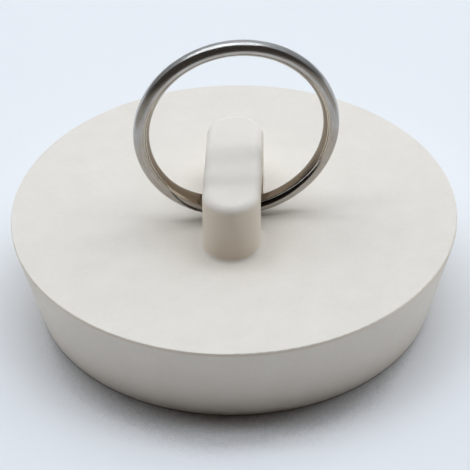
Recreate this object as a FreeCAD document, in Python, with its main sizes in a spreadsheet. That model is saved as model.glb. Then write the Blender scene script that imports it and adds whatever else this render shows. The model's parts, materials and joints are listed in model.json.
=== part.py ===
import FreeCAD, Part
import math
import os
import Sketcher

# A drain stopper: a moulded rubber plug with a lug on top, and a split ring through the eye in that lug.
# Millimetres and degrees. +Z is up, and the origin is in the middle of the plane that the foot stands on.
# The lug runs along Y and its eye runs along X.

SIZES = {
    # The plug, a tapered disc with a narrow upright land under its top face
    "plug_top_diameter": 44.45,
    "plug_base_diameter": 39.5,
    "plug_height": 9.7,
    "rim_land": 0.35,
    "rim_round": 0.12,
    "foot_round": 0.2,
    # The hollow under the plug, which leaves a ring-shaped foot
    "foot_width": 4.2,
    "foot_lip_round": 0.5,
    "hollow_depth": 5.0,
    "hollow_draft": 6.0,
    "hollow_round": 1.6,
    # The lug, an upright tab with round ends
    "lug_width": 5.62,
    "lug_length": 16.2,
    "lug_height": 6.4,
    "lug_crown_round": 0.8,
    "lug_root_round": 0.4,
    # The eye through the lug: its floor is the plug's top face, and this is its room round the ring's wire
    "eye_side_clearance": 0.45,
    "eye_headroom": 0.9,
    "eye_round": 1.6,
    # The split ring: two turns of half-round wire that close into one round section
    "ring_outside_diameter": 20.3,
    "wire_pair_diameter": 1.58,
    "wire_corner_round": 0.06,
    "seam_gap": 0.04,
    "seam_tilt": 26.0,
    # Where the wire crosses from the inner turn to the outer one, either side of the ring's low point, and
    # the wedge beside that, where each turn rolls away from the other so that the seam gapes at the front
    "crossing_left": 50.0,
    "crossing_right": 12.0,
    "crossing_lift": 0.25,
    "wedge_right": 62.0,
    "wedge_turn": 8.0,
    "outer_tip_length": 34.0,
    # How the ring stands in the eye
    "ring_shift_x": 0.46,
    "ring_shift_y": -0.43,
    "ring_floor_clearance": 0.175,
    "ring_yaw": 9.34,
    "ring_lean": 1.73,
}
RING_RADIUS = "(sizes.ring_outside_diameter - sizes.wire_pair_diameter) / 2"
FULL_TURN = 360
HALF_TURN = FULL_TURN / 2
CORNER_SHARE = 0.4
CROSSING_STEPS = 8
WEDGE_STEPS = 5
TIP_STEPS = 3
MATCH = 1e-4

doc = FreeCAD.newDocument("drain_stopper")
sheet = doc.addObject("Spreadsheet::Sheet", "sizes")
for row, (alias, value) in enumerate(SIZES.items(), 1):
    sheet.set(f"A{row}", alias)
    sheet.set(f"B{row}", str(value))
    sheet.setAlias(f"B{row}", alias)
doc.recompute()


# Sketching

def new_sketch(body, name, role):
    """Start a sketch on one of the body's own origin planes."""
    sketch = body.newObject("Sketcher::SketchObject", name)
    plane = next(part for part in body.Origin.OriginFeatures if part.Role == role)
    sketch.AttachmentSupport = (plane, [""])
    sketch.MapMode = "FlatFace"
    return sketch


def line(sketch, start, end):
    return sketch.addGeometry(Part.LineSegment(FreeCAD.Vector(*start), FreeCAD.Vector(*end)))


def arc(sketch, centre, radius, first, last):
    circle = Part.Circle(FreeCAD.Vector(*centre), FreeCAD.Vector(0, 0, 1), radius)
    return sketch.addGeometry(Part.ArcOfCircle(circle, first, last))


def join(sketch, kind, outline):
    """Join the end of each piece of a closed outline to the start of the next."""
    for piece, following in zip(outline, outline[1:] + outline[:1]):
        sketch.addConstraint(Sketcher.Constraint(kind, piece, 2, following, 1))


def drive(sketch, expression, kind, *subject):
    """Add a dimension and bind it to the sheet."""
    index = sketch.addConstraint(Sketcher.Constraint(kind, *subject))
    sketch.setExpression(f"Constraints[{index}]", expression)


def drive_radius(sketch, expression, piece):
    drive(sketch, expression, "Radius", piece, sketch.Geometry[piece].Radius)


def drive_point(sketch, across, up, piece, end):
    """Hold a point at bound distances from the sketch's origin, or on an axis where the distance is 0."""
    point = sketch.getPoint(piece, end)
    for expression, kind, place, axis in ((across, "DistanceX", point.x, -2), (up, "DistanceY", point.y, -1)):
        if expression == "0":
            sketch.addConstraint(Sketcher.Constraint("PointOnObject", piece, end, axis))
        else:
            drive(sketch, expression, kind, -1, 1, piece, end, place)


def polygon(sketch, corners):
    """Draw a closed outline of straight lines through corners that are bound to the sheet."""
    turns = [2 * math.pi * step / len(corners) for step in range(len(corners))]
    rough = [(math.cos(turn), math.sin(turn), 0) for turn in turns]
    outline = [line(sketch, start, end) for start, end in zip(rough, rough[1:] + rough[:1])]
    join(sketch, "Coincident", outline)
    for piece, (across, up) in zip(outline, corners):
        drive_point(sketch, across, up, piece, 1)


def circles(feature, level):
    """Name a feature's full circles at one level, from the smallest to the largest."""
    found = []
    for number, edge in enumerate(feature.Shape.Edges, 1):
        if edge.isClosed() and max(abs(edge.BoundBox.ZMin - level), abs(edge.BoundBox.ZMax - level)) < MATCH:
            found.append((edge.Length, f"Edge{number}"))
    return [name for length, name in sorted(found)]


def fillet(body, name, base, edges, size):
    rounded = body.newObject("PartDesign::Fillet", name)
    rounded.Base = (base, edges)
    rounded.setExpression("Radius", f"sizes.{size}")
    doc.recompute()
    return rounded


# The plug and its lug

def plug_disc(body):
    base_radius = "sizes.plug_base_diameter / 2"
    top_radius = "sizes.plug_top_diameter / 2"
    mouth_radius = "sizes.plug_base_diameter / 2 - sizes.foot_width"
    roof_radius = f"{mouth_radius} - sizes.hollow_depth * tan(sizes.hollow_draft * 1 deg)"
    section = new_sketch(body, "plug_section", "XZ_Plane")
    polygon(section, [
        (mouth_radius, "0"),
        (base_radius, "0"),
        (top_radius, "sizes.plug_height - sizes.rim_land"),
        (top_radius, "sizes.plug_height"),
        ("0", "sizes.plug_height"),
        ("0", "sizes.hollow_depth"),
        (roof_radius, "sizes.hollow_depth"),
    ])
    disc = body.newObject("PartDesign::Revolution", "plug_disc")
    disc.Profile = section
    disc.ReferenceAxis = (section, ["V_Axis"])
    disc.Angle = FULL_TURN
    doc.recompute()
    disc = fillet(body, "rim_edge", disc, circles(disc, sheet.plug_height), "rim_round")
    disc = fillet(body, "foot_edge", disc, circles(disc, 0)[-1:], "foot_round")
    disc = fillet(body, "foot_lip", disc, circles(disc, 0)[:1], "foot_lip_round")
    fillet(body, "hollow_corner", disc, circles(disc, sheet.hollow_depth), "hollow_round")


def lug_edges(feature, level, half_width):
    """Name the edges of the lug's outline at one level."""
    found = []
    for number, edge in enumerate(feature.Shape.Edges, 1):
        box = edge.BoundBox
        if max(abs(box.ZMin - level), abs(box.ZMax - level), box.XMax - half_width) < MATCH:
            found.append(f"Edge{number}")
    return found


def lug(body):
    half_width = sheet.lug_width / 2
    straight = sheet.lug_length / 2 - half_width
    plan = new_sketch(body, "lug_plan", "XY_Plane")
    plan.setExpression("AttachmentOffset.Base.z", "sizes.plug_height")
    right = line(plan, (half_width, -straight, 0), (half_width, straight, 0))
    back = arc(plan, (0, straight, 0), half_width, 0, math.pi)
    left = line(plan, (-half_width, straight, 0), (-half_width, -straight, 0))
    front = arc(plan, (0, -straight, 0), half_width, math.pi, 2 * math.pi)
    join(plan, "Tangent", [right, back, left, front])
    drive_point(plan, "0", "(sizes.lug_length - sizes.lug_width) / 2", back, 3)
    drive_point(plan, "0", "(sizes.lug_width - sizes.lug_length) / 2", front, 3)
    drive_radius(plan, "sizes.lug_width / 2", back)
    tab = body.newObject("PartDesign::Pad", "lug")
    tab.Profile = plan
    tab.setExpression("Length", "sizes.lug_height")
    doc.recompute()
    for name, level, size in (("lug_crown", sheet.plug_height + sheet.lug_height, "lug_crown_round"),
                              ("lug_root", sheet.plug_height, "lug_root_round")):
        tab = fillet(body, name, tab, lug_edges(tab, level, half_width), size)
    return tab


def ring_eye(body, base):
    """Cut the eye, an arch round the space that the ring's wire sweeps as the ring swings."""
    reach = "(sizes.lug_width / 2 + sizes.lug_root_round + abs(sizes.ring_shift_x))"
    rise = f"({RING_RADIUS} - sqrt(({RING_RADIUS})^2 - {reach}^2))"
    drift = f"({reach} * tan(sizes.ring_yaw * 1 deg) + abs(sizes.ring_shift_y))"
    half_width = f"({rise} + {drift} + sizes.wire_pair_diameter / 2 + sizes.eye_side_clearance)"
    floor = "sizes.plug_height"
    crown = f"{floor} + sizes.ring_floor_clearance + sizes.wire_pair_diameter + {rise} + sizes.eye_headroom"
    size = sheet.eye_round
    outline = new_sketch(body, "eye_outline", "YZ_Plane")
    sill = line(outline, (-2 * size, 0, 0), (2 * size, 0, 0))
    back = line(outline, (2 * size, 0, 0), (2 * size, size, 0))
    back_corner = arc(outline, (size, size, 0), size, 0, math.pi / 2)
    head = line(outline, (size, 2 * size, 0), (-size, 2 * size, 0))
    front_corner = arc(outline, (-size, size, 0), size, math.pi / 2, math.pi)
    front = line(outline, (-2 * size, size, 0), (-2 * size, 0, 0))
    arch = [back, back_corner, head, front_corner, front]
    for piece, following in zip(arch, arch[1:]):
        outline.addConstraint(Sketcher.Constraint("Tangent", piece, 2, following, 1))
    outline.addConstraint(Sketcher.Constraint("Coincident", sill, 2, back, 1))
    outline.addConstraint(Sketcher.Constraint("Coincident", front, 2, sill, 1))
    outline.addConstraint(Sketcher.Constraint("Vertical", back))
    outline.addConstraint(Sketcher.Constraint("Horizontal", head))
    outline.addConstraint(Sketcher.Constraint("Vertical", front))
    outline.addConstraint(Sketcher.Constraint("Equal", back_corner, front_corner))
    drive_radius(outline, "sizes.eye_round", back_corner)
    drive_point(outline, f"-{half_width}", floor, sill, 1)
    drive_point(outline, half_width, floor, sill, 2)
    drive(outline, crown, "DistanceY", -1, 1, head, 1, 2 * size)
    eye = body.newObject("PartDesign::Pocket", "ring_eye")
    eye.Profile = outline
    eye.Type = "ThroughAll"
    eye.SideType = "Symmetric"
    doc.recompute()
    if eye.Shape.Volume > base.Shape.Volume - MATCH:
        raise RuntimeError("the eye cuts nothing")


def rubber_plug():
    body = doc.addObject("PartDesign::Body", "rubber_plug")
    plug_disc(body)
    ring_eye(body, lug(body))
    return body


# The split ring, built about its own centre with its axis along Y

CROSSING_SPAN = "(sizes.crossing_left + sizes.crossing_right)"
INNER_ROLL = "-sizes.seam_tilt"
OUTER_ROLL = f"{HALF_TURN} - sizes.seam_tilt"
CLOSED_SEAM = "sizes.seam_gap / 2"


def wire_section(body, name, swing, roll, flat, lift="0"):
    """Draw the half-round wire where it passes through a plane of the ring's axis.

    swing is the place round the ring, from its low point towards +X. roll turns the wire's round side from
    the ring's middle, at 0, over its front. flat is how far the wire's flat side is from the pair's centre.
    """
    radius = sheet.wire_pair_diameter / 2
    corner = sheet.wire_corner_round
    low = sheet.seam_gap / 2
    side = math.sqrt((radius - corner) ** 2 - (low + corner) ** 2)
    turn = math.atan2(low + corner, side)
    section = new_sketch(body, name, "YZ_Plane")
    section.setExpression("AttachmentOffset", (
        f"placement(vector(0; 0; 0); rotation(vector(1; 0; 0); -({swing})))"
        f" * placement(vector(0; {lift} - {RING_RADIUS}; 0); rotation(vector(0; 0; 1); {roll}))"))
    face = line(section, (-side, low, 0), (side, low, 0))
    right = arc(section, (side, low + corner, 0), corner, -math.pi / 2, turn)
    back = arc(section, (0, 0, 0), radius, turn, math.pi - turn)
    left = arc(section, (-side, low + corner, 0), corner, math.pi - turn, 3 * math.pi / 2)
    join(section, "Tangent", [face, right, back, left])
    section.addConstraint(Sketcher.Constraint("Coincident", back, 3, -1, 1))
    section.addConstraint(Sketcher.Constraint("Horizontal", face))
    section.addConstraint(Sketcher.Constraint("Equal", right, left))
    drive_radius(section, "sizes.wire_pair_diameter / 2", back)
    thickness = f"(sizes.wire_pair_diameter / 2 - ({flat}))"
    drive_radius(section, f"min(sizes.wire_corner_round; {thickness} * {CORNER_SHARE})", right)
    drive(section, flat, "DistanceY", -1, 1, face, 1, low)
    return section


def wire_loft(body, name, sections):
    """Run the wire through its sections."""
    stretch = body.newObject("PartDesign::AdditiveLoft", name)
    stretch.Profile = sections[0]
    stretch.Sections = sections[1:]
    stretch.Refine = False
    doc.recompute()
    return stretch


def wire_turn(body, name, section):
    """Run the wire round the ring's top, from the crossing's left end to the wedge."""
    turn = body.newObject("PartDesign::Revolution", name)
    turn.Profile = section
    axis = next(part for part in body.Origin.OriginFeatures if part.Role == "Y_Axis")
    turn.ReferenceAxis = (axis, [""])
    turn.setExpression("Angle", f"{FULL_TURN} - sizes.crossing_left - sizes.wedge_right")
    turn.Refine = False
    doc.recompute()
    return turn


def shares(steps):
    return [step / steps for step in range(steps + 1)]


def gaping_seam(turn):
    """How far the flat is from the pair's centre where each turn has rolled away and the seam's back is closed."""
    return f"{CLOSED_SEAM} + sizes.wire_pair_diameter / 2 * sin({turn} * 1 deg)"


def crossing_sections(body):
    """The wire rolls half a turn about the pair's centre, over the front, from inner turn to outer."""
    sections = []
    for step, share in enumerate(shares(CROSSING_STEPS)):
        swing = f"{CROSSING_SPAN} * {share} - sizes.crossing_left"
        roll = f"{INNER_ROLL} + ({HALF_TURN} + sizes.wedge_turn) * {share}"
        flat = gaping_seam(f"sizes.wedge_turn * {share}")
        lift = f"sizes.crossing_lift * {math.sin(math.pi * share) ** 2}"
        sections.append(wire_section(body, f"crossing_{step}", swing, roll, flat, lift))
    return sections


def wedge_sections(body, name, roll, sense, steps):
    """A turn rolls away from the other from the top of the wedge down to the crossing's right end."""
    sections = []
    for step in steps:
        share = step / WEDGE_STEPS
        swing = f"sizes.wedge_right + (sizes.crossing_right - sizes.wedge_right) * {share}"
        turn = f"sizes.wedge_turn * {math.sin(math.pi / 2 * share)}"
        rolled = f"{roll} + {sense} * {turn}"
        sections.append(wire_section(body, f"{name}_{step}", swing, rolled, gaping_seam(turn)))
    return sections


def tip_sections(body):
    """The outer turn's free end thins out behind the crossing wire, clear of it by the seam's gap."""
    sections = []
    for step, share in enumerate(shares(TIP_STEPS)):
        passed = f"sizes.outer_tip_length * {share}"
        half_roll = f"{HALF_TURN} * {passed} / {CROSSING_SPAN} / 2"
        swing = f"{passed} - sizes.crossing_left"
        flat = f"sizes.wire_pair_diameter / 2 * sin({half_roll} * 1 deg) + {CLOSED_SEAM}"
        sections.append(wire_section(body, f"outer_tip_{step}", swing, f"{OUTER_ROLL} + {half_roll}", flat))
    return sections


def split_ring():
    body = doc.addObject("PartDesign::Body", "split_ring")
    crossing = crossing_sections(body)
    outer_tip = tip_sections(body)
    inner_wedge = wedge_sections(body, "inner_wedge", INNER_ROLL, -1, range(WEDGE_STEPS + 1))
    outer_wedge = wedge_sections(body, "outer_wedge", OUTER_ROLL, 1, range(WEDGE_STEPS))
    doc.recompute()
    wire_turn(body, "inner_turn", crossing[0])
    wire_loft(body, "inner_end", inner_wedge)
    wire_loft(body, "crossing", crossing)
    wire_loft(body, "outer_start", outer_wedge + crossing[-1:])
    wire_turn(body, "outer_turn", outer_tip[0])
    wire_loft(body, "outer_end", outer_tip)
    gap = crossing[0].Shape.distToShape(outer_tip[0].Shape)[0]
    print(f"seam between the ring's turns: {gap:.3f} mm")
    low_point = "sizes.plug_height + sizes.ring_floor_clearance + sizes.wire_pair_diameter / 2"
    body.setExpression("Placement", (
        f"placement(vector(sizes.ring_shift_x; sizes.ring_shift_y; {low_point});"
        " rotation(sizes.ring_yaw; 0; -sizes.ring_lean))"
        f" * placement(vector(0; 0; {RING_RADIUS}); rotation(0; 0; 0))"))
    return body


# The finished pieces

pieces = [rubber_plug(), split_ring()]
doc.recompute()
for item in doc.Objects:
    if {"Invalid", "Error"} & set(item.State):
        raise RuntimeError(f"{item.Name} failed: {item.State}")
for piece in pieces:
    shape = piece.Shape
    if shape.isNull() or not shape.isValid() or len(shape.Solids) != 1:
        raise RuntimeError(f"{piece.Label} is not one valid solid")
os.makedirs("parts", exist_ok=True)
for piece in pieces:
    box = piece.Shape.optimalBoundingBox()
    print(f"{piece.Label}: {piece.Shape.Volume:.1f} mm3, {box}")
    piece.Shape.exportStep(f"parts/{piece.Label}.step")
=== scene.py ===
import json
import math

import bpy
from mathutils import Euler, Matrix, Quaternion, Vector


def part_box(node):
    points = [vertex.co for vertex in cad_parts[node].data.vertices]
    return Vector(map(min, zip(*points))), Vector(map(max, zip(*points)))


# The looks of a drain stopper: an off-white rubber plug with a plated split ring through its lug.
# The part's own frame: +Z is up, the lug runs along Y, and the photographed side faces -Y.
# Sizes are in metres and angles in degrees. A pair of limits is where a share is 0 and where it is 1.

PLUG_HEIGHT = 0.0097

# Camera, at the photograph's viewing angle, with its lens and sensor in millimetres
CAMERA_AZIMUTH = 3.05
CAMERA_ELEVATION = 37.08
CAMERA_ROLL = -1.12
CAMERA_DISTANCE = 0.3254
CAMERA_LENS = 250.0
CAMERA_SENSOR = 36.0
AIM_TOWARD = 0.00373
AIM_ASIDE = 0.00006

# Floor: close in front of the plug a contact shadow is painted into its colour, by how much of the room
# behind is open, from little to much
FLOOR_SIDE = 6.0
FLOOR_PAINTED_SHADOW = (
    (0.25, (0.197, 0.185, 0.172, 1)),
    (0.285, (0.53, 0.515, 0.505, 1)),
    (0.36, (0.4, 0.39, 0.385, 1)),
    (0.38, (0.4, 0.39, 0.385, 1)),
    (0.425, (0.825, 0.825, 0.825, 1)),
)
FLOOR_ROUGHNESS = 0.9
CONTACT_REACH = 0.012
CONTACT_TILT = 50.0
CONTACT_SAMPLES = 16

# Sky: its light is stronger from the sides, while the backdrop that the ring mirrors is dimmer there and
# brighter overhead
SKY_COLOUR = (0.928, 1.0, 1.09, 1)
SKY_BACK = 0.4
SKY_SIDE = 1.24
BACKDROP_SEEN = (0.78, 0.835, 0.91, 1)
MIRRORED_BACK = 0.85
MIRRORED_SIDE_LOSS = 0.62
MIRRORED_TOP_GAIN = 0.28

# Lamps overhead, tilted back from straight up and leaning to the right
LAMP_COLOUR = (0.928, 1.0, 1.09)
LAMPS = {
    "front_strip": {"tilt": -4.6, "lean": -6.0, "distance": 0.8, "length": 1.0, "width": 0.11, "power": 1.46},
    "back_strip": {"tilt": 14.0, "lean": -6.0, "distance": 0.8, "length": 1.0, "width": 0.11, "power": 1.18},
    "soft_box": {"tilt": 17.0, "lean": 9.0, "distance": 0.84, "length": 1.1, "width": 0.8, "power": 3.25},
}
UNMIRRORED_LAMPS = ("soft_box",)

# A dark card round the front, which keeps the front of the plug in shade
CARD = {
    "centre": 0.0, "radius": 1.2, "half_span": 80.0, "steps": 24,
    "foot": 0.0, "top": 90.0, "side_top": 90.0,
}
CARD_COLOUR = (0.07, 0.033, 0.012, 1)
CARD_ROUGHNESS = 1.0

# A near screen that glows and that only reflections show: a painted reflection of the dim room in front of
# the ring and at its sides. It darkens with height, and later at the sides.
SCREEN = {
    "centre": 0.02, "radius": 0.06, "half_span": 104.0, "steps": 32,
    "foot": -19.0, "top": 74.0, "side_top": -18.0,
}
SCREEN_LOW = (0.44, 0.425, 0.4, 1)
SCREEN_HIGH = (0.06, 0.052, 0.045, 1)
SCREEN_FADE = (-0.002, 0.02)
SCREEN_SIDE_RISE = 0.28

# The range that noise keeps to. Each kind of noise below has its lumps to the metre and its detail, and each
# bump its strength and depth.
NOISE_RANGE = (0.3, 0.7)

# Rubber
RUBBER_LIGHT = (0.824, 0.762, 0.675, 1)
RUBBER_SHADE = (0.779, 0.714, 0.628, 1)
# The warm shade painted on the upright faces high on the plug
RUBBER_PAINTED_WARM_SHADE = (0.797, 0.706, 0.588, 1)
RUBBER_CLOUDS = (380, 4)
RUBBER_SPECKS = (2600, 2)
RUBBER_GRAIN = (4200, 3)
SPECK_SHARE = 0.35
RUBBER_ROUGHNESS = (0.55, 0.65)
RUBBER_BUMP = (0.08, 0.0001)
RUBBER_SPECULAR = 0.15

# Painted warm shade on upright faces: how far under the plug's top it starts, and how far a face there may
# point up or down
LAND_START = (0.00038, 0.0003)
UPRIGHT_SLOPE = (0.7, 0.05)

# Wire, in two turns with a tilted seam between them
WIRE_BRIGHT = (0.58, 0.563, 0.543, 1)
WIRE_DULL = (0.345, 0.325, 0.3, 1)
# Browner colour for the lower part of the ring
WIRE_BROWNER = (0.33, 0.275, 0.22, 1)
# The near-black colour of the shade painted in the seam and the wedge
WIRE_PAINTED_SHADE = (0.06, 0.042, 0.03, 1)
# The pale colour of the highlight painted on the seam's edges
WIRE_PAINTED_HIGHLIGHT = (0.8, 0.735, 0.64, 1)
WIRE_LINES = (9000, 4)
WIRE_PATCHES = (420, 3)
LINE_SHARE = 0.6
LINE_STRETCH = 0.0006
WIRE_ROUGHNESS = (0.28, 0.15)
PAINTED_SHADE_ROUGHNESS = 0.3
WIRE_BUMP = (0.35, 0.00002)
WIRE_SPECULAR = 0.1
RING_LEAN = 1.73
WIRE_RADIUS = 0.00936
SEAM_TILT = 26.0

# How high in the ring the wire is browner, how far patches shift that, and how much less so the outer turn is
BROWNER_HEIGHT = (0.013, -0.003)
BROWNER_SHIFT = 0.006
OUTER_TURN = (0.0, 0.0003)
OUTER_TURN_LOSS = 0.75

# Places round the ring, from its top towards the right
WEDGE_TURNS = (112.0, 128.0)
CROSSING_TURNS = (-150.0, -138.0)
EDGE_TURNS = (45.0, 70.0)

# Distances from the seam, or for its painted shade from the middle of the wire
EDGE_REACH = (0.00016, 0.00006)
SEAM_REACH = (0.00072, 0.0006)
WEDGE_REACH = (0.0003, 0.0002)

# How far the wedge's walls face away from the seam where the painted shade starts, with a shift for the inner
# turn
WEDGE_FACING = (0.1, -0.2)
INNER_TURN = (0.00002, -0.00002)
INNER_TURN_SHIFT = -0.15

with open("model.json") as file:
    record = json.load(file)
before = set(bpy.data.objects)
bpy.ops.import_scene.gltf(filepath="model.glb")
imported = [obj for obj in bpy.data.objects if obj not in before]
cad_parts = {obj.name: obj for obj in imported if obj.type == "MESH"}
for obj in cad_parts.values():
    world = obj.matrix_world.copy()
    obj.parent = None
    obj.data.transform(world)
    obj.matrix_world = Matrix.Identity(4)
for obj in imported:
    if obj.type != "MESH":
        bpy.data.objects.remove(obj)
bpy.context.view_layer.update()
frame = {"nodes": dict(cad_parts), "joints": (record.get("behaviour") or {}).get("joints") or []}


# Shader helpers

def new_material(name):
    """A node material and its Principled shader."""
    material = bpy.data.materials.new(name)
    material.use_nodes = True
    return material, material.node_tree, material.node_tree.nodes["Principled BSDF"]


def feed(tree, value, socket):
    """Link a socket, or set it to a plain value."""
    if isinstance(value, bpy.types.NodeSocket):
        tree.links.new(value, socket)
    else:
        socket.default_value = value


def add(tree, kind, inputs=(), **settings):
    """Add a node, set its options, and set or link its inputs."""
    node = tree.nodes.new(kind)
    for name, value in settings.items():
        setattr(node, name, value)
    for name, value in dict(inputs).items():
        feed(tree, value, node.inputs[name])
    return node


def calculate(tree, operation, *values):
    """The result of a maths node."""
    node = add(tree, "ShaderNodeMath", operation=operation)
    for socket, value in zip(node.inputs, values):
        feed(tree, value, socket)
    return node.outputs["Value"]


def split(tree, vector):
    """The X, Y and Z of a vector."""
    return add(tree, "ShaderNodeSeparateXYZ", {"Vector": vector}).outputs


def diagonal(tree, first, second):
    """The length of a line from its extents along two axes."""
    square = calculate(tree, "MULTIPLY", second, second)
    return calculate(tree, "SQRT", calculate(tree, "MULTIPLY_ADD", first, first, square))


def noise(tree, place, scale, detail):
    """Noise with so many lumps to the metre and so much detail."""
    return add(tree, "ShaderNodeTexNoise", {"Vector": place, "Scale": scale, "Detail": detail}).outputs["Fac"]


def mingle(tree, share, first, second):
    """Two kinds of noise, the first by its share and the second by the rest."""
    return calculate(tree, "MULTIPLY_ADD", first, share, calculate(tree, "MULTIPLY", second, 1 - share))


def spread(tree, value, low, high):
    """Stretch noise to run from low to high."""
    least, most = NOISE_RANGE
    limits = {"Value": value, "From Min": least, "From Max": most, "To Min": low, "To Max": high}
    return add(tree, "ShaderNodeMapRange", limits).outputs["Result"]


def ramp(tree, value, nought, one):
    """A share that is 0 where the value is at nought and 1 where it is at one."""
    limits = {"Value": value, "From Min": nought, "From Max": one}
    return add(tree, "ShaderNodeMapRange", limits, interpolation_type="SMOOTHSTEP").outputs["Result"]


def turn_ramp(tree, turn, nought, one):
    """A ramp between two places round the ring."""
    return ramp(tree, turn, math.radians(nought), math.radians(one))


def blend(tree, share, first, second, data_type="RGBA"):
    """The first value where the share is 0 and the second where it is 1."""
    node = add(tree, "ShaderNodeMix", {"Factor": share, "A": first, "B": second}, data_type=data_type)
    return node.outputs["Result"]


def emboss(tree, shader, height, strength, depth):
    """Give a shader a bump."""
    bump = add(tree, "ShaderNodeBump", {"Height": height, "Strength": strength, "Distance": depth})
    feed(tree, bump.outputs["Normal"], shader.inputs["Normal"])


def dress(node_name, material):
    """Give a CAD node its material."""
    mesh = frame["nodes"][node_name].data
    mesh.materials.clear()
    mesh.materials.append(material)


# Rubber

def moulded_rubber():
    """Matte rubber with faint clouds and specks in its colour and a fine mould grain.

    It has a warm shade painted on its upright faces: on the narrow land under the rim and on the lug's sides.
    """
    material, tree, shader = new_material("moulded_rubber")
    source = add(tree, "ShaderNodeTexCoord").outputs
    place = source["Object"]
    clouds = noise(tree, place, *RUBBER_CLOUDS)
    mottling = mingle(tree, SPECK_SHARE, noise(tree, place, *RUBBER_SPECKS), clouds)
    colour = blend(tree, spread(tree, mottling, 0.0, 1.0), RUBBER_SHADE, RUBBER_LIGHT)
    under_top = calculate(tree, "SUBTRACT", PLUG_HEIGHT, split(tree, place)["Z"])
    high = ramp(tree, under_top, *LAND_START)
    slope = calculate(tree, "ABSOLUTE", split(tree, source["Normal"])["Z"])
    painted_warm_shade = calculate(tree, "MULTIPLY", high, ramp(tree, slope, *UPRIGHT_SLOPE))
    # Upright faces high on the plug get a painted warm shade.
    feed(tree, blend(tree, painted_warm_shade, colour, RUBBER_PAINTED_WARM_SHADE), shader.inputs["Base Color"])
    feed(tree, spread(tree, clouds, *RUBBER_ROUGHNESS), shader.inputs["Roughness"])
    shader.inputs["Specular IOR Level"].default_value = RUBBER_SPECULAR
    emboss(tree, shader, noise(tree, place, *RUBBER_GRAIN), *RUBBER_BUMP)
    return material


# Wire

def in_ring_frame(tree, vector, origin):
    """The X, Y and Z of a vector from an origin, in the frame of the ring, whose axis is Y."""
    axis = frame["joints"][0]["axis"]
    upright = (-math.radians(RING_LEAN), 0, math.atan2(axis[1], axis[0]))
    inputs = {"Vector": vector, "Location": origin, "Rotation": upright}
    return split(tree, add(tree, "ShaderNodeMapping", inputs, vector_type="TEXTURE").outputs["Vector"])


def along_wire(tree, source):
    """Where a point is on the ring, and which way the surface faces there.

    In order: distance from the ring's axis, distance along that axis, height above the middle, turn from the
    top towards the right, and how far the surface faces away from the axis and along it.
    """
    low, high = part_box("split_ring")
    x, y, z = in_ring_frame(tree, source["Object"], (low + high) / 2)
    face_x, sideways, face_z = in_ring_frame(tree, source["Normal"], (0, 0, 0))
    radius = diagonal(tree, x, z)
    outward = calculate(tree, "MULTIPLY_ADD", face_x, x, calculate(tree, "MULTIPLY", face_z, z))
    outward = calculate(tree, "DIVIDE", outward, radius)
    return radius, y, z, calculate(tree, "ARCTAN2", x, z), outward, sideways


def across_seam(tree, outward, sideways):
    """How far an offset or a direction points across the tilted seam, towards the outer turn."""
    tilt = math.radians(SEAM_TILT)
    return calculate(tree, "MULTIPLY_ADD", outward, math.cos(tilt),
                     calculate(tree, "MULTIPLY", sideways, -math.sin(tilt)))


def browner_low(tree, height, patches, across):
    """Where the wire is browner: low in the ring, and less on its outer turn."""
    low = ramp(tree, calculate(tree, "MULTIPLY_ADD", patches, BROWNER_SHIFT, height), *BROWNER_HEIGHT)
    outer = ramp(tree, across, *OUTER_TURN)
    return calculate(tree, "MULTIPLY", low, calculate(tree, "MULTIPLY_ADD", outer, -OUTER_TURN_LOSS, 1.0))


def painted_edge_highlight(tree, turn, across):
    """A highlight painted on the turns' edges along the closed seam, at the ring's sides."""
    before_wedge = turn_ramp(tree, turn, *reversed(WEDGE_TURNS))
    past_crossing = turn_ramp(tree, turn, *CROSSING_TURNS)
    closed = calculate(tree, "MULTIPLY", before_wedge, past_crossing)
    edge = ramp(tree, calculate(tree, "ABSOLUTE", across), *EDGE_REACH)
    beside_top = turn_ramp(tree, calculate(tree, "ABSOLUTE", turn), *EDGE_TURNS)
    return calculate(tree, "MULTIPLY", calculate(tree, "MULTIPLY", closed, edge), beside_top)


def painted_seam_shade(tree, turn, depth, across, facing):
    """Where shade is painted: deep in the seam, and on the walls of the wedge, where the seam gapes."""
    inward = calculate(tree, "MULTIPLY", facing, calculate(tree, "SIGN", across))
    inward = calculate(tree, "MULTIPLY_ADD", ramp(tree, across, *INNER_TURN), INNER_TURN_SHIFT, inward)
    walls = ramp(tree, inward, *WEDGE_FACING)
    floor_of_wedge = ramp(tree, calculate(tree, "ABSOLUTE", across), *WEDGE_REACH)
    wedge = calculate(tree, "MAXIMUM", walls, floor_of_wedge)
    wedge = calculate(tree, "MULTIPLY", turn_ramp(tree, turn, *WEDGE_TURNS), wedge)
    return calculate(tree, "MAXIMUM", ramp(tree, depth, *SEAM_REACH), wedge)


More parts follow.
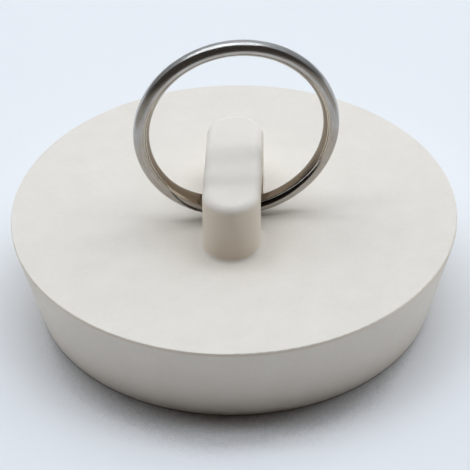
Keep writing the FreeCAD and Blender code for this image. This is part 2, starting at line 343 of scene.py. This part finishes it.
def plated_wire():
    """Nickel on drawn wire, with lines along it, browner towards the eye, with a highlight painted on the
    seam's edges and shade painted between its turns.
    """
    material, tree, shader = new_material("plated_wire")
    source = add(tree, "ShaderNodeTexCoord").outputs
    radius, side, height, turn, outward, sideways = along_wire(tree, source)
    stretched = {"X": radius, "Y": side, "Z": calculate(tree, "MULTIPLY", turn, LINE_STRETCH)}
    lines = noise(tree, add(tree, "ShaderNodeCombineXYZ", stretched).outputs["Vector"], *WIRE_LINES)
    patches = noise(tree, source["Object"], *WIRE_PATCHES)
    wear = mingle(tree, LINE_SHARE, lines, patches)
    offset = calculate(tree, "SUBTRACT", radius, WIRE_RADIUS)
    across = across_seam(tree, offset, side)
    facing = across_seam(tree, outward, sideways)
    seam_shade = painted_seam_shade(tree, turn, diagonal(tree, offset, side), across, facing)
    plate = blend(tree, spread(tree, wear, 0.0, 1.0), WIRE_DULL, WIRE_BRIGHT)
    plate = blend(tree, browner_low(tree, height, patches, across), plate, WIRE_BROWNER)
    # A painted highlight on the seam's edges.
    plate = blend(tree, painted_edge_highlight(tree, turn, across), plate, WIRE_PAINTED_HIGHLIGHT)
    # Deep in the seam and in the wedge the wire turns near black and loses its metal: painted shade.
    feed(tree, blend(tree, seam_shade, plate, WIRE_PAINTED_SHADE), shader.inputs["Base Color"])
    roughness = spread(tree, wear, *WIRE_ROUGHNESS)
    roughness = calculate(tree, "MULTIPLY_ADD", seam_shade, PAINTED_SHADE_ROUGHNESS, roughness)
    feed(tree, roughness, shader.inputs["Roughness"])
    feed(tree, calculate(tree, "SUBTRACT", 1.0, seam_shade), shader.inputs["Metallic"])
    shader.inputs["Specular IOR Level"].default_value = WIRE_SPECULAR
    emboss(tree, shader, lines, *WIRE_BUMP)
    return material


dress("rubber_plug", moulded_rubber())
dress("split_ring", plated_wire())


# Camera

def photograph_camera():
    """Stand the camera off from the middle of the plug's top face and aim it a little in front of that."""
    azimuth = math.radians(CAMERA_AZIMUTH)
    elevation = math.radians(CAMERA_ELEVATION)
    top_centre = Vector((0, 0, PLUG_HEIGHT))
    aside = Vector((math.cos(azimuth), math.sin(azimuth), 0))
    toward = Vector((math.sin(azimuth), -math.cos(azimuth), 0))
    back = toward * math.cos(elevation) + Vector((0, 0, math.sin(elevation)))
    data = bpy.data.cameras.new("photograph")
    data.lens = CAMERA_LENS
    data.sensor_width = CAMERA_SENSOR
    camera = bpy.data.objects.new("photograph", data)
    camera.location = top_centre + back * CAMERA_DISTANCE
    aim = top_centre + toward * AIM_TOWARD + aside * AIM_ASIDE
    camera.rotation_mode = "QUATERNION"
    look = (aim - camera.location).to_track_quat("-Z", "Y")
    camera.rotation_quaternion = look @ Quaternion((0, 0, 1), math.radians(CAMERA_ROLL))
    bpy.context.scene.collection.objects.link(camera)
    bpy.context.scene.camera = camera


photograph_camera()


# Studio

def staged(name, points, faces, material):
    """A piece of the studio, which is no part of the object."""
    mesh = bpy.data.meshes.new(name)
    mesh.from_pydata(points, [], faces)
    mesh.materials.append(material)
    item = bpy.data.objects.new(name, mesh)
    bpy.context.scene.collection.objects.link(item)
    return item


def floor():
    """A plain pale floor, with a contact shadow painted into its colour where the plug meets it."""
    material, tree, shader = new_material("floor")
    upright = add(tree, "ShaderNodeNewGeometry").outputs["Normal"]
    tilt = {"Vector": upright, "Angle": math.radians(-CONTACT_TILT)}
    behind = add(tree, "ShaderNodeVectorRotate", tilt, rotation_type="X_AXIS").outputs["Vector"]
    room = {"Distance": CONTACT_REACH, "Normal": behind}
    openness = add(tree, "ShaderNodeAmbientOcclusion", room, samples=CONTACT_SAMPLES).outputs["AO"]
    painted_shadow = add(tree, "ShaderNodeValToRGB", {"Fac": openness})
    stops = painted_shadow.color_ramp.elements
    while len(stops) < len(FLOOR_PAINTED_SHADOW):
        stops.new(1.0)
    for stop, (place, colour) in zip(stops, FLOOR_PAINTED_SHADOW):
        stop.position = place
        stop.color = colour
    # The ramp darkens the floor's colour where little room is open: a painted contact shadow.
    feed(tree, painted_shadow.outputs["Color"], shader.inputs["Base Color"])
    shader.inputs["Roughness"].default_value = FLOOR_ROUGHNESS
    shader.inputs["Specular IOR Level"].default_value = 0.0
    half = FLOOR_SIDE / 2
    corners = [(-half, -half, 0), (half, -half, 0), (half, half, 0), (-half, half, 0)]
    staged("floor", corners, [(0, 1, 2, 3)], material)


def screen(name, material, centre, radius, half_span, steps, foot, top, side_top):
    """Part of a ball round the front of the plug, between two elevations, with another top at its sides."""
    points = []
    faces = []
    across = steps + 1
    for column in range(across):
        place = 2 * column / steps - 1
        turn = math.radians(half_span * place)
        highest = top + (side_top - top) * place * place
        for row in range(across):
            rise = math.radians(foot + (highest - foot) * row / steps)
            reach = radius * math.cos(rise)
            points.append((reach * math.sin(turn), -reach * math.cos(turn), centre + radius * math.sin(rise)))
            if column < steps and row < steps:
                first = column * across + row
                faces.append((first, first + across, first + across + 1, first + 1))
    item = staged(name, points, faces, material)
    item.visible_camera = False
    return item


def dark_card():
    """The card that keeps the front of the plug in shade."""
    material, _, shader = new_material("dark_card")
    shader.inputs["Base Color"].default_value = CARD_COLOUR
    shader.inputs["Roughness"].default_value = CARD_ROUGHNESS
    screen("dark_card", material, **CARD)


def mirrored_screen():
    """The glowing screen that paints the dim room into the ring's reflections."""
    material, tree, shader = new_material("mirrored_screen")
    aside, _, height = split(tree, add(tree, "ShaderNodeNewGeometry").outputs["Position"])
    aside = calculate(tree, "ABSOLUTE", aside)
    height = calculate(tree, "MULTIPLY_ADD", aside, -SCREEN_SIDE_RISE, height)
    shade = blend(tree, ramp(tree, height, *SCREEN_FADE), SCREEN_LOW, SCREEN_HIGH)
    shader.inputs["Base Color"].default_value = (0, 0, 0, 1)
    shader.inputs["Specular IOR Level"].default_value = 0.0
    # The screen glows with its painted reflection colour.
    shader.inputs["Emission Strength"].default_value = 1.0
    feed(tree, shade, shader.inputs["Emission Color"])
    item = screen("mirrored_screen", material, **SCREEN)
    item.visible_diffuse = False
    item.visible_shadow = False
    item.visible_transmission = False


def lamp(name, tilt, lean, distance, length, width, power):
    """A flat lamp that faces the plug from above."""
    data = bpy.data.lights.new(name, "AREA")
    data.shape = "RECTANGLE"
    data.size = length
    data.size_y = width
    data.energy = power
    data.color = LAMP_COLOUR
    item = bpy.data.objects.new(name, data)
    tilted = Euler((-math.radians(tilt), 0, 0)).to_matrix()
    leaning = Euler((0, math.radians(lean), 0)).to_matrix()
    turn = tilted @ leaning
    item.location = turn @ Vector((0, 0, distance))
    item.rotation_euler = turn.to_euler()
    item.visible_glossy = name not in UNMIRRORED_LAMPS
    bpy.context.scene.collection.objects.link(item)


def sky():
    """Soft light all round, and the backdrop that the camera and reflections see in its place."""
    world = bpy.data.worlds.new("sky")
    world.use_nodes = True
    tree = world.node_tree
    shader = tree.nodes["Background"]
    aside, _, up = split(tree, add(tree, "ShaderNodeTexCoord").outputs["Generated"])
    light = calculate(tree, "MULTIPLY", aside, aside)
    light = calculate(tree, "MULTIPLY_ADD", light, SKY_SIDE - SKY_BACK, SKY_BACK)
    mirrored = calculate(tree, "ABSOLUTE", aside)
    mirrored = calculate(tree, "MULTIPLY_ADD", mirrored, -MIRRORED_SIDE_LOSS, MIRRORED_BACK)
    mirrored = calculate(tree, "MULTIPLY_ADD", up, MIRRORED_TOP_GAIN, mirrored)
    path = add(tree, "ShaderNodeLightPath").outputs
    reflected = calculate(tree, "MAXIMUM", path["Is Glossy Ray"], path["Is Transmission Ray"])
    strength = blend(tree, reflected, light, mirrored, "FLOAT")
    strength = blend(tree, path["Is Camera Ray"], strength, 1.0, "FLOAT")
    seen = calculate(tree, "MAXIMUM", path["Is Camera Ray"], reflected)
    feed(tree, blend(tree, seen, SKY_COLOUR, BACKDROP_SEEN), shader.inputs["Color"])
    feed(tree, strength, shader.inputs["Strength"])
    bpy.context.scene.world = world


floor()
dark_card()
mirrored_screen()
for lamp_name, settings in LAMPS.items():
    lamp(lamp_name, **settings)
sky()
bpy.context.scene.view_settings.view_transform = "Standard"
